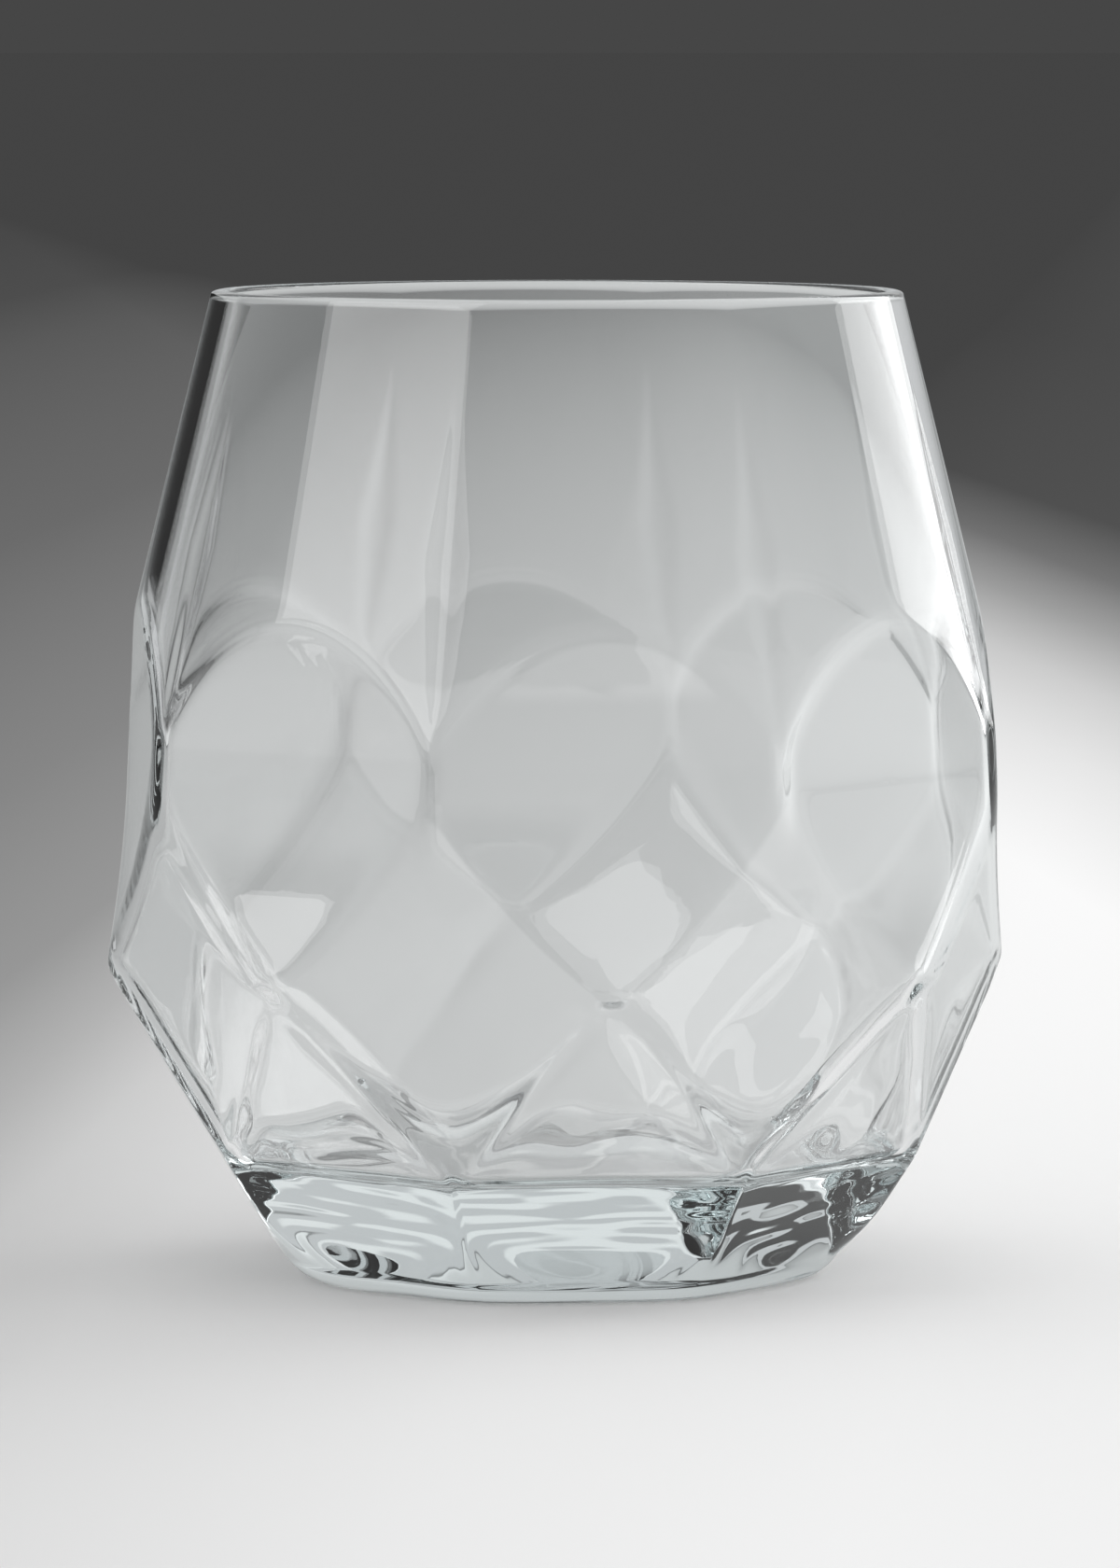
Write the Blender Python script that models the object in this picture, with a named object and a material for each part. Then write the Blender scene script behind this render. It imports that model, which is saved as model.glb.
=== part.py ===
"""Rocks glass: one piece of clear glass with a thick foot, a faceted belly and a plain tapered lip.

Sizes are metres and degrees. +Z is up, the foot stands on z = 0 and the front of the glass faces -Y.
"""

import math

import bpy
from mathutils import Vector

# Height, and the plain taper that runs up to the lip
HEIGHT = 0.105
RIM_RADIUS = 0.0367
TAPER_ANGLE = 13.8

# Facets round the belly: hollow-ground scoops above the belt, flats below it, and kites across it
FACET_COUNT = 8
FACET_TURN = 6.8
BELT_RADIUS = 0.0485
BELT_HEIGHT = 0.0336
BELT_EDGE = 0.0015
SCOOP_RADIUS = 0.099
SCOOP_HEIGHT = 0.0615
LOWER_FLAT_ANGLE = 31.1
KITE_ANGLE = 10.5
KITE_FOOT_ANGLE = 15.4

# Foot: a standing ring just inside the lower flats, round the shallow push-up underneath
FOOT_INSET = 0.0022
FOOT_RING_WIDTH = 0.0045
PUSH_UP = 0.0015
HEEL_RADIUS = 0.004
HEEL_ANGLE = 50.0

# Glass thickness, and the soft corner of the floor inside
RIM_WALL = 0.0018
BELLY_WALL = 0.0019
LOWER_WALL = 0.002
FLOOR_THICKNESS = 0.014
FLOOR_FILLET = 0.003

# Fineness of the mesh, and how far a blank or a cutter stands clear of what it shapes
TURN_STEPS = 72
ARC_STEP = 9.0
SCOOP_STEPS = 14
BLANK_MARGIN = 0.002
FILLET_SHARE = 0.48
MERGE_DISTANCE = 0.00001

# Clear glass with a faint blue-green cast
GLASS_COLOUR = (0.90, 0.94, 0.94, 1.0)
GLASS_ROUGHNESS = 0.02
GLASS_IOR = 1.52

HALF_FACET = math.pi / FACET_COUNT
TAPER = math.radians(TAPER_ANGLE)
LOWER_SLOPE = math.tan(math.radians(LOWER_FLAT_ANGLE))
KITE_SLOPE = math.tan(math.radians(KITE_ANGLE))
KITE_FOOT_SLOPE = math.tan(math.radians(KITE_FOOT_ANGLE))
BELT_SCOOP_SLOPE = math.tan(math.asin((SCOOP_HEIGHT - BELT_HEIGHT) / SCOOP_RADIUS))
LOWER_WALL_ACROSS = LOWER_WALL / math.cos(math.radians(LOWER_FLAT_ANGLE))
FRONT = math.radians(-90.0)


def scoop_distance(height):
    """Distance from the axis to the middle of a scoop at a height; the scoop's foot is on the belt."""
    rise_to_belt = BELT_HEIGHT - SCOOP_HEIGHT
    centre = BELT_RADIUS + math.sqrt(SCOOP_RADIUS ** 2 - rise_to_belt ** 2)
    return centre - math.sqrt(SCOOP_RADIUS ** 2 - (height - SCOOP_HEIGHT) ** 2)


def lower_flat_distance(height):
    """Distance from the axis to the middle of a lower flat at a height."""
    return BELT_RADIUS - LOWER_SLOPE * (BELT_HEIGHT - height)


def kite_distance(height):
    """Distance from the axis to a kite at a height; it passes the ends of two belt edges and bends there."""
    at_belt = BELT_RADIUS * math.cos(HALF_FACET) + BELT_EDGE / 2 * math.sin(HALF_FACET)
    slope = KITE_SLOPE if height > BELT_HEIGHT else KITE_FOOT_SLOPE
    return at_belt + slope * (height - BELT_HEIGHT)


def arc(centre, radius, first, last):
    """Points along an arc in the profile's plane, from one angle to another, in degrees."""
    steps = max(2, math.ceil(abs(last - first) / ARC_STEP))
    angles = [math.radians(first + (last - first) * i / steps) for i in range(steps + 1)]
    return [centre + radius * Vector((math.cos(a), math.sin(a))) for a in angles]


def fillet(before, corner, after, radius):
    """Points of the arc that rounds a corner, held within its two straight legs."""
    legs = [before - corner, after - corner]
    shorter = min(leg.length for leg in legs)
    directions = [leg.normalized() for leg in legs]
    half = directions[0].angle(directions[1]) / 2
    reach = min(radius / math.tan(half), FILLET_SHARE * shorter)
    radius = reach * math.tan(half)
    centre = corner + (directions[0] + directions[1]).normalized() * radius / math.sin(half)
    first, last = [
        math.degrees(math.atan2(*reversed(corner + direction * reach - centre))) for direction in directions
    ]
    turn = (last - first + 180.0) % 360.0 - 180.0
    return arc(centre, radius, first, first + turn)


def lip_arc(first, last):
    """Part of the fire-polished lip, a half round that runs into the taper inside and outside."""
    radius = RIM_WALL / 2
    height = HEIGHT - radius
    taper_reach = RIM_RADIUS * math.cos(TAPER) + HEIGHT * math.sin(TAPER)
    across = (taper_reach - radius - height * math.sin(TAPER)) / math.cos(TAPER)
    return arc(Vector((across, height)), radius, first, last)


def where_taper_meets(on_taper, on_cone, cone_slope):
    """Point where the taper through one point meets a cone that widens upwards from another."""
    taper_slope = math.tan(TAPER)
    taper_on_floor = on_taper.x + taper_slope * on_taper.y
    cone_on_floor = on_cone.x - cone_slope * on_cone.y
    height = (taper_on_floor - cone_on_floor) / (taper_slope + cone_slope)
    return Vector((taper_on_floor - taper_slope * height, height))


def outside_profile():
    """Round outside: lip, taper carried down to the heel's cone, heel, and the push-up under the foot."""
    lip = lip_arc(90.0, TAPER_ANGLE)
    foot_radius = lower_flat_distance(0.0) - FOOT_INSET
    heel = arc(Vector((foot_radius, HEEL_RADIUS)), HEEL_RADIUS, -HEEL_ANGLE, -90.0)
    knee = where_taper_meets(lip[-1], heel[0], math.tan(math.radians(HEEL_ANGLE)))
    return [Vector((0.0, HEIGHT))] + lip + [knee] + heel + push_up_profile()


def cavity_profile():
    """Round inside: floor, soft corner, cone outside the lower flats, taper, lip, and past the lip's top."""
    lip = lip_arc(180.0 + TAPER_ANGLE, 90.0)
    top = HEIGHT + BLANK_MARGIN
    floor_radius = (lower_flat_distance(FLOOR_THICKNESS) - LOWER_WALL_ACROSS) / math.cos(HALF_FACET)
    middle = Vector((0.0, FLOOR_THICKNESS))
    corner = Vector((floor_radius, FLOOR_THICKNESS))
    knee = where_taper_meets(lip[0], corner, LOWER_SLOPE / math.cos(HALF_FACET))
    floor = [middle] + fillet(middle, corner, knee, FLOOR_FILLET)
    return floor + [knee] + lip + [Vector((lip[-1].x, top)), Vector((0.0, top))]


def push_up_profile():
    """Shallow dome under the foot, from the standing ring's inner edge up to the axis."""
    ring_inside = lower_flat_distance(0.0) - FOOT_INSET - FOOT_RING_WIDTH
    dome_radius = (ring_inside ** 2 + PUSH_UP ** 2) / (2 * PUSH_UP)
    half_angle = math.degrees(math.asin(ring_inside / dome_radius))
    dome = arc(Vector((0.0, PUSH_UP - dome_radius)), dome_radius, 90.0 - half_angle, 90.0)
    dome[0].y = 0.0
    dome[-1].x = 0.0
    return dome


def flats_profile(belly_wall, lower_wall):
    """Corner line of the solid bounded by the scoops and the lower flats, each drawn in by a wall."""
    top = HEIGHT + 2 * BLANK_MARGIN
    belt = BELT_HEIGHT - (belly_wall - lower_wall) / (LOWER_SLOPE + BELT_SCOOP_SLOPE)
    heights = [top + (belt - top) * i / SCOOP_STEPS for i in range(SCOOP_STEPS)]
    sides = [Vector((scoop_distance(z) - belly_wall, z)) for z in heights]
    sides += [Vector((lower_flat_distance(z) - lower_wall, z)) for z in (belt, -BLANK_MARGIN)]
    return closed_on_axis(sides)


def kites_profile(wall):
    """Corner line of the solid bounded by the kites, drawn in by a wall."""
    heights = (HEIGHT + 2 * BLANK_MARGIN, BELT_HEIGHT, -BLANK_MARGIN)
    return closed_on_axis([Vector((kite_distance(z) - wall, z)) for z in heights])


def closed_on_axis(sides):
    """Facet distances made corner radii, with flat ends that run in to the axis."""
    corners = [Vector((side.x / math.cos(HALF_FACET), side.y)) for side in sides]
    return [Vector((0.0, corners[0].y))] + corners + [Vector((0.0, corners[-1].y))]


def turned(name, profile, steps, smooth):
    """Object whose profile is turned round the Z axis."""
    mesh = bpy.data.meshes.new(name)
    edges = [(i, i + 1) for i in range(len(profile) - 1)]
    mesh.from_pydata([(point.x, 0.0, point.y) for point in profile], edges, [])
    turned_object = bpy.data.objects.new(name, mesh)
    bpy.context.collection.objects.link(turned_object)
    screw = turned_object.modifiers.new("turn", "SCREW")
    screw.axis = "Z"
    screw.angle = math.tau
    screw.steps = steps
    screw.render_steps = steps
    screw.use_merge_vertices = True
    screw.merge_threshold = MERGE_DISTANCE
    screw.use_smooth_shade = smooth
    return turned_object


def facet_cutter(name, profile, turn):
    """Many-sided solid that the blank is cut down to, with a corner at an angle from the front."""
    cutter = turned(name, profile, FACET_COUNT, smooth=False)
    cutter.rotation_euler.z = FRONT + math.radians(turn)
    hide(cutter)
    return cutter


def hide(tool):
    """Keep a solid that only shapes the glass out of the render."""
    tool.hide_render = True
    tool.display_type = "WIRE"


def glass_material():
    """Clear soda-lime glass."""
    material = bpy.data.materials.new("clear_glass")
    material.use_nodes = True
    shader = material.node_tree.nodes["Principled BSDF"]
    shader.inputs["Base Color"].default_value = GLASS_COLOUR
    shader.inputs["Metallic"].default_value = 0.0
    shader.inputs["Roughness"].default_value = GLASS_ROUGHNESS
    shader.inputs["IOR"].default_value = GLASS_IOR
    shader.inputs["Transmission Weight"].default_value = 1.0
    return material


def boolean(target, operation, other):
    """Boolean modifier on the target."""
    modifier = target.modifiers.new(other.name, "BOOLEAN")
    modifier.operation = operation
    modifier.solver = "EXACT"
    modifier.object = other


def faceted(name, profile, belly_wall, lower_wall):
    """Turned blank that is cut down to the flats and the kites, each drawn in by a wall."""
    blank = turned(name, profile, TURN_STEPS, smooth=True)
    half_turn = math.degrees(HALF_FACET)
    flats = facet_cutter(name + "_flats", flats_profile(belly_wall, lower_wall), FACET_TURN + half_turn)
    kites = facet_cutter(name + "_kites", kites_profile(belly_wall), FACET_TURN)
    boolean(blank, "INTERSECT", flats)
    boolean(blank, "INTERSECT", kites)
    return blank


def build_glass():
    """Shape the outside, and take the cavity out of it."""
    glass = faceted("glass_body", outside_profile(), 0.0, 0.0)
    cavity = faceted("cavity", cavity_profile(), BELLY_WALL, LOWER_WALL_ACROSS)
    hide(cavity)
    boolean(glass, "DIFFERENCE", cavity)
    glass.data.materials.append(glass_material())


def main():
    """Empty the scene and model the glass."""
    for leftover in list(bpy.data.objects):
        bpy.data.objects.remove(leftover, do_unlink=True)
    build_glass()


main()
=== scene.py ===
"""Rocks glass dressed for its picture: clear moulded glass standing on pale studio paper.

Metres, +Z up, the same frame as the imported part. The photographed front faces -Y.
"""

import logging
import math
from dataclasses import dataclass, field
from enum import Enum
from typing import Any, Callable, Mapping, Sequence

import bpy
import numpy as np
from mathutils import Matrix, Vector


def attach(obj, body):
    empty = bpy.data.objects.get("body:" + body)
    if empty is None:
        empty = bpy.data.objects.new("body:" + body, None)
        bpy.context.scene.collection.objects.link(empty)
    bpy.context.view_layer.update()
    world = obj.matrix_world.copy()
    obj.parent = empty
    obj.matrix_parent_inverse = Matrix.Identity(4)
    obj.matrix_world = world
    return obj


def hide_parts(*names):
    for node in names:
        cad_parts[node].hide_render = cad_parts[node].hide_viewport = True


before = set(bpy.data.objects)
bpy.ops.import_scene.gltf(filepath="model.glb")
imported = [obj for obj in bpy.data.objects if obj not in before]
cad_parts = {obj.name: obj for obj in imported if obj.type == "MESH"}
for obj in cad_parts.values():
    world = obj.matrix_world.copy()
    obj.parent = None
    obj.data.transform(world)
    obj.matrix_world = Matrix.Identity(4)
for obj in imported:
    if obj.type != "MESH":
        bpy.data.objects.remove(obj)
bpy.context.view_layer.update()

LOG = logging.getLogger("rocks_glass")
MM = 0.001
CAD_NODE = "glass_body"
BODY = "root"

# Height of the picture in pixels, and size of the camera's sensor along it
PICTURE_HEIGHT = 1680
SENSOR_MM = 36.0


class VertexField(Enum):
    """Numbers that each point of the wall's grid carries into the facet rule."""

    TURN = "turn"      # angle round the axis, from the front towards +X
    LEVEL = "level"    # height at which the wall's radius is worked out
    RISE = "rise"      # height at which the point lies
    DEPTH = "depth"    # 0 on the outer skin, 1 on the inner skin
    INSET = "inset"    # how far the point is drawn in from the wall
    SHARE = "share"    # share of that radius, from 1 at the wall to 0 on the axis
    RIPPLE = "ripple"  # how much of the mould's waviness the point takes, from 0 to 1


class Step(Enum):
    """How a step from 0 to 1 runs between two values."""

    EVEN = "LINEAR"
    SOFT = "SMOOTHSTEP"


# Steps of a rule: a name, a math operation or a step from 0 to 1, and what it works on. Words name a value
# that the rule starts from, or an earlier step.
Rule = Sequence[tuple[str, str | Step, tuple[Any, ...]]]


def linear(hex_colour: str) -> tuple[float, float, float, float]:
    """Turn an sRGB hex colour into linear red, green, blue and alpha.

    Args:
        hex_colour: Six hex digits, such as "D8E4E2".

    Returns:
        Linear colour with an alpha of 1.
    """
    parts = [int(hex_colour[i:i + 2], 16) / 255.0 for i in (0, 2, 4)]
    red, green, blue = [c / 12.92 if c <= 0.04045 else ((c + 0.055) / 1.055) ** 2.4 for c in parts]
    return red, green, blue, 1.0


def add_node(tree: bpy.types.NodeTree, kind: str, inputs: Mapping[Any, Any] | Sequence[Any] = (),
             **settings: Any) -> bpy.types.Node:
    """Add one node to a tree.

    Args:
        tree: Tree that gets the node.
        kind: Blender's type name for the node.
        inputs: Input name or index to a value, or to the output socket that feeds it.
        settings: Properties set on the node itself.

    Returns:
        The new node.
    """
    node = tree.nodes.new(kind)
    for name, value in settings.items():
        setattr(node, name, value)
    pairs = inputs.items() if isinstance(inputs, Mapping) else enumerate(inputs)
    for key, source in pairs:
        if isinstance(source, bpy.types.NodeSocket):
            tree.links.new(source, node.inputs[key])
        else:
            node.inputs[key].default_value = source
    return node


def follow_rule(tree: bpy.types.NodeTree, rule: Rule, known: Mapping[str, Any]) -> dict[str, Any]:
    """Add the nodes of a rule, step by step.

    Args:
        tree: Tree that gets the nodes.
        rule: Steps of the rule. A step from 0 to 1 works on a value, where it is 0 and where it is 1.
        known: Sockets that the rule starts from, by name.

    Returns:
        Those sockets and the socket of each step, by name.
    """
    values = dict(known)
    for name, operation, operands in rule:
        sources = [values.get(word, word) for word in operands]
        if isinstance(operation, Step):
            value, low, high = sources
            node = add_node(tree, "ShaderNodeMapRange", {
                "Value": value, "From Min": low, "From Max": high, "To Min": 0.0, "To Max": 1.0},
                interpolation_type=operation.value)
        else:
            node = add_node(tree, "ShaderNodeMath", sources, operation=operation)
        values[name] = node.outputs[0]
    return values


@dataclass(frozen=True)
class SodaLimeGlass:
    """Clear soda-lime glass, blown in a mould and fire-polished.

    It shows the eye sharp reflections, a faint blue-green where the path through it is long, and the slow
    waves that the mould's skin leaves.
    """

    name: str = "soda_lime_glass"
    tint: str = "FFFFFF"
    depth_tint: str = "A6D2D6"
    depth_density: float = 3.0
    ior: float = 1.52
    roughness: float = 0.0
    wave_mm: float = 14.0
    wave_strength: float = 0.02
    wave_height_mm: float = 0.05

    def material(self) -> bpy.types.Material:
        """Build the material.

        Returns:
            Material with a glass surface and the glass's own absorption inside.
        """
        material = bpy.data.materials.new(self.name)
        material.use_nodes = True
        tree = material.node_tree
        tree.nodes.clear()
        place = add_node(tree, "ShaderNodeTexCoord")
        waves = add_node(tree, "ShaderNodeTexNoise", {
            "Vector": place.outputs["Object"], "Scale": 1.0 / (self.wave_mm * MM), "Detail": 1.0})
        bump = add_node(tree, "ShaderNodeBump", {
            "Strength": self.wave_strength, "Distance": self.wave_height_mm * MM,
            "Height": waves.outputs["Fac"]})
        surface = add_node(tree, "ShaderNodeBsdfPrincipled", {
            "Base Color": linear(self.tint), "Roughness": self.roughness, "IOR": self.ior,
            "Transmission Weight": 1.0, "Normal": bump.outputs["Normal"]})
        inside = add_node(tree, "ShaderNodeVolumeAbsorption", {
            "Color": linear(self.depth_tint), "Density": self.depth_density})
        add_node(tree, "ShaderNodeOutputMaterial", {
            "Surface": surface.outputs["BSDF"], "Volume": inside.outputs["Volume"]})
        return material


# Section of a ridge, as shares of its height: softness of its toe, and height and softness of its cap
RIDGE_TOE = 0.3
RIDGE_CAP = 0.75
RIDGE_CAP_SOFTNESS = 0.5
# Least share of its width that a ridge keeps past its ends, so that nothing is divided by zero
RIDGE_LEAST = 0.0001

# Middle of the noise that makes the waves
WAVE_MIDDLE = 0.5

# Rule for the radius of the wall, from the tree's inputs and the fields that the points carry
FACET_RULE: Rule = (
    # Angle to the nearest flat, folded so that one half facet stands for all
    ("half", "DIVIDE", (math.pi, "Facet count")),
    ("minus_half", "MULTIPLY", ("half", -1.0)),
    ("pitch", "MULTIPLY", ("half", 2.0)),
    ("from_facet", "SUBTRACT", ("turn", "Facet turn")),
    ("wrapped", "WRAP", ("from_facet", "half", "minus_half")),
    ("folded", "ABSOLUTE", ("wrapped",)),
    ("to_next", "SUBTRACT", ("pitch", "folded")),
    ("to_kite", "SUBTRACT", ("half", "folded")),
    ("past_kite", "ADD", ("half", "folded")),
    ("flat_near", "COSINE", ("folded",)),
    ("flat_next", "COSINE", ("to_next",)),
    ("kite_near", "COSINE", ("to_kite",)),
    ("kite_next", "COSINE", ("past_kite",)),
    # Plain taper below the lip
    ("below_lip", "SUBTRACT", ("Height", "level")),
    ("taper_gain", "MULTIPLY", ("below_lip", "Taper slope")),
    ("taper_outer", "ADD", ("Lip radius", "taper_gain")),
    ("lip_wall", "MULTIPLY", ("depth", "Lip wall")),
    ("taper", "SUBTRACT", ("taper_outer", "lip_wall")),
    # Hollow-ground scoops above the belt
    ("from_scoop", "SUBTRACT", ("level", "Scoop height")),
    ("from_scoop_squared", "POWER", ("from_scoop", 2.0)),
    ("scoop_squared", "POWER", ("Scoop radius", 2.0)),
    ("chord_squared", "SUBTRACT", ("scoop_squared", "from_scoop_squared")),
    ("chord", "SQRT", ("chord_squared",)),
    ("scoop_outer", "SUBTRACT", ("Scoop centre", "chord")),
    ("belly_wall", "MULTIPLY", ("depth", "Belly wall")),
    ("scoop", "SUBTRACT", ("scoop_outer", "belly_wall")),
    ("scoop_near", "DIVIDE", ("scoop", "flat_near")),
    ("scoop_next", "DIVIDE", ("scoop", "flat_next")),
    # Kites across the belt, which lean in more below it
    ("above_belt", "SUBTRACT", ("level", "Belt height")),
    ("kite_upper", "MULTIPLY_ADD", ("above_belt", "Kite slope", "Kite distance")),
    ("kite_under", "MULTIPLY_ADD", ("above_belt", "Kite foot slope", "Kite distance")),
    ("kite_outer", "SMOOTH_MIN", ("kite_upper", "kite_under", "Kite bend")),
    ("kite", "SUBTRACT", ("kite_outer", "belly_wall")),
    ("kite_this", "DIVIDE", ("kite", "kite_near")),
    ("kite_other", "DIVIDE", ("kite", "kite_next")),
    # Flats below the belt
    ("lower_gain", "MULTIPLY", ("above_belt", "Lower slope")),
    ("lower_outer", "ADD", ("Belt radius", "lower_gain")),
    ("lower_wall", "MULTIPLY", ("depth", "Lower wall")),
    ("lower", "SUBTRACT", ("lower_outer", "lower_wall")),
    ("lower_near", "DIVIDE", ("lower", "flat_near")),
    ("lower_next", "DIVIDE", ("lower", "flat_next")),
    # Softness of the edges, and what is added to it below the belt
    ("below_soft", "SUBTRACT", ("Soft top", "level")),
    ("soft_share", "DIVIDE", ("below_soft", "Soft span")),
    ("soft_floor", "MAXIMUM", ("soft_share", 0.0)),
    ("soft_mix", "MINIMUM", ("soft_floor", 1.0)),
    ("soft_foot", "MULTIPLY_ADD", ("Foot softness inward", "depth", "Foot softness")),
    ("soft_added", "MULTIPLY", ("soft_foot", "soft_mix")),
    ("corner_soft", "MULTIPLY_ADD", ("Corner softness inward", "depth", "Corner softness")),
    ("edge_soft", "MULTIPLY_ADD", ("Edge softness inward", "depth", "Edge softness")),
    ("arc_soft", "MULTIPLY_ADD", ("Arc softness inward", "depth", "Arc softness")),
    ("corner_softness", "ADD", ("corner_soft", "soft_added")),
    ("edge_softness", "ADD", ("edge_soft", "soft_added")),
    # The wall lies at the nearest of these surfaces, with its edges melted round
    ("scoops", "SMOOTH_MIN", ("scoop_near", "scoop_next", "corner_softness")),
    ("flats", "SMOOTH_MIN", ("lower_near", "lower_next", "corner_softness")),
    ("kites", "SMOOTH_MIN", ("kite_this", "kite_other", "corner_softness")),
    ("belt", "SMOOTH_MIN", ("scoops", "flats", "corner_softness")),
    ("belly", "SMOOTH_MIN", ("belt", "kites", "edge_softness")),
    ("body", "SMOOTH_MIN", ("belly", "taper", "arc_soft")),
    # Round heel that takes the corners off near the foot
    ("heel_gain", "MULTIPLY", ("level", "Heel slope")),
    ("heel_outer", "ADD", ("Heel radius", "heel_gain")),
    ("heel", "SUBTRACT", ("heel_outer", "lower_wall")),
    ("wall", "SMOOTH_MIN", ("body", "heel", "Heel softness")),
    # Spindle-shaped ridge inside, up the corner between two scoops
    ("above_ridge", "SUBTRACT", ("level", "Ridge height")),
    ("ridge_up", "DIVIDE", ("above_ridge", "Ridge reach up")),
    ("ridge_down", "DIVIDE", ("above_ridge", "Ridge reach down")),
    ("ridge_along", "MAXIMUM", ("ridge_up", "ridge_down")),
    ("ridge_taper", "SUBTRACT", (1.0, "ridge_along")),
    ("ridge_span", "MAXIMUM", ("ridge_taper", RIDGE_LEAST)),
    ("ridge_half", "MULTIPLY", ("ridge_span", "Ridge half angle")),
    ("ridge_off", "DIVIDE", ("to_kite", "ridge_half")),
    ("ridge_slope", "SUBTRACT", (1.0, "ridge_off")),
    ("ridge_roof", "SMOOTH_MAX", ("ridge_slope", 0.0, RIDGE_TOE)),
    ("ridge_cap", "SMOOTH_MIN", ("ridge_roof", RIDGE_CAP, RIDGE_CAP_SOFTNESS)),
    ("ridge_share", "MULTIPLY", ("ridge_cap", "ridge_span")),
    ("ridge_inside", "MULTIPLY", ("ridge_share", "depth")),
    ("ridge", "MULTIPLY", ("ridge_inside", "Ridge thickness")),
    ("ridged", "SUBTRACT", ("wall", "ridge")),
    # From the wall's radius to a place
    ("drawn_in", "SUBTRACT", ("ridged", "inset")),
    ("radius", "MULTIPLY", ("drawn_in", "share")),
    ("sine", "SINE", ("turn",)),
    ("cosine", "COSINE", ("turn",)),
    ("minus_radius", "MULTIPLY", ("radius", -1.0)),
    ("x", "MULTIPLY", ("radius", "sine")),
    ("y", "MULTIPLY", ("minus_radius", "cosine")),
)


@dataclass
class FacetedTumbler:
    """The glass itself: thick foot, faceted belly, plain tapered lip, in one closed skin.

    Lengths are metres and angles are degrees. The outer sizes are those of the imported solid, apart from a
    rounder heel, a flatter lip and the melted edges.
    """

    # Outside, from the lip to the belt and down to the foot
    height: float = 0.105
    lip_radius: float = 0.0367
    taper_angle: float = 13.8
    facet_count: int = 8
    facet_turn: float = 6.8
    belt_radius: float = 0.0485
    belt_height: float = 0.0336
    belt_edge: float = 0.0015
    scoop_radius: float = 0.099
    scoop_height: float = 0.0615
    lower_flat_angle: float = 31.1
    kite_angle: float = 10.5
    kite_foot_angle: float = 15.4
    kite_bend: float = 0.0008
    # Heel and foot
    heel_radius: float = 0.0055
    heel_angle: float = 50.0
    heel_cone_radius: float = 0.0275
    heel_softness: float = 0.0025
    foot_ring_width: float = 0.0045
    push_up: float = 0.0015
    # Thickness of the glass, and the soft corner of the floor inside
    lip_wall: float = 0.0018
    lip_rise: float = 0.0004
    belly_wall: float = 0.0019
    lower_wall: float = 0.0020
    floor_thickness: float = 0.014
    floor_fillet: float = 0.003
    # Softness of the melted edges on the outer and inner skin, and what is added to it below the belt
    corner_softness: tuple[float, float] = (0.0015, 0.0010)
    edge_softness: tuple[float, float] = (0.0022, 0.0019)
    arc_softness: tuple[float, float] = (0.0007, 0.00063)
    foot_softness: tuple[float, float] = (-0.0016, 0.0006)
    soft_top: float = 0.0345
    soft_foot: float = 0.0300
    # Slim ridges inside, between the scoops
    ridge_height: float = 0.078
    ridge_reach_up: float = 0.017
    ridge_reach_down: float = 0.022
    ridge_half_width: float = 0.0027
    ridge_thickness: float = 0.00018
    # Waves that the mould leaves near the foot, and the outer skin's share of them
    ripple_top: float = 0.034
    ripple_foot: float = 0.016
    ripple_height: float = 0.0004
    ripple_length: float = 0.009
    outer_ripple: float = 0.3
    # Fineness of the grid: columns, rows between two edges on each skin, and rows on each round stretch
    columns_per_half_facet: int = 26
    column_gather: float = 0.25
    row_gather: float = 0.72
    belt_row_gap: float = 0.0003
    inner_rows: tuple[int, ...] = (16, 16, 20, 14)
    outer_rows: tuple[int, ...] = (18, 34, 28, 26)
    floor_rows: int = 14
    fillet_rows: int = 12
    lip_rows: int = 15
    heel_rows: int = 10
    foot_rows: int = 14
    halvings: int = 40
    finish: SodaLimeGlass = field(default_factory=SodaLimeGlass)
    # Worked out from the sizes above
    half_facet: float = field(init=False)
    taper_slope: float = field(init=False)
    lower_slope: float = field(init=False)
    kite_slope: float = field(init=False)
    kite_foot_slope: float = field(init=False)
    kite_at_belt: float = field(init=False)
    scoop_centre: float = field(init=False)
    lip_wall_across: float = field(init=False)
    lower_wall_across: float = field(init=False)

    def __post_init__(self) -> None:
        """Work out the slopes that the rule uses."""
        self.half_facet = math.pi / self.facet_count
        self.taper_slope = math.tan(math.radians(self.taper_angle))
        self.lower_slope = math.tan(math.radians(self.lower_flat_angle))
        self.kite_slope = math.tan(math.radians(self.kite_angle))
        self.kite_foot_slope = math.tan(math.radians(self.kite_foot_angle))
        rise_to_belt = self.belt_height - self.scoop_height
        self.scoop_centre = self.belt_radius + math.sqrt(self.scoop_radius ** 2 - rise_to_belt ** 2)
        self.kite_at_belt = (self.belt_radius * math.cos(self.half_facet)
                             + self.belt_edge / 2 * math.sin(self.half_facet))
        self.lip_wall_across = self.lip_wall / math.cos(math.radians(self.taper_angle))
        self.lower_wall_across = self.lower_wall / math.cos(math.radians(self.lower_flat_angle))

    def taper(self, z: np.ndarray) -> np.ndarray:
        """Radius of the plain taper at a height."""
        return self.lip_radius + self.taper_slope * (self.height - z)

    def scoop(self, z: np.ndarray) -> np.ndarray:
        """Distance from the axis to the middle of a scoop at a height."""
        return self.scoop_centre - np.sqrt(self.scoop_radius ** 2 - (z - self.scoop_height) ** 2)

    def kite(self, z: np.ndarray) -> np.ndarray:
        """Distance from the axis to the middle of a kite at a height."""
        above = z - self.belt_height
        return self.kite_at_belt + np.minimum(self.kite_slope * above, self.kite_foot_slope * above)

    def lower(self, z: np.ndarray) -> np.ndarray:
        """Distance from the axis to the middle of a lower flat at a height."""
        return self.belt_radius + self.lower_slope * (z - self.belt_height)

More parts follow.
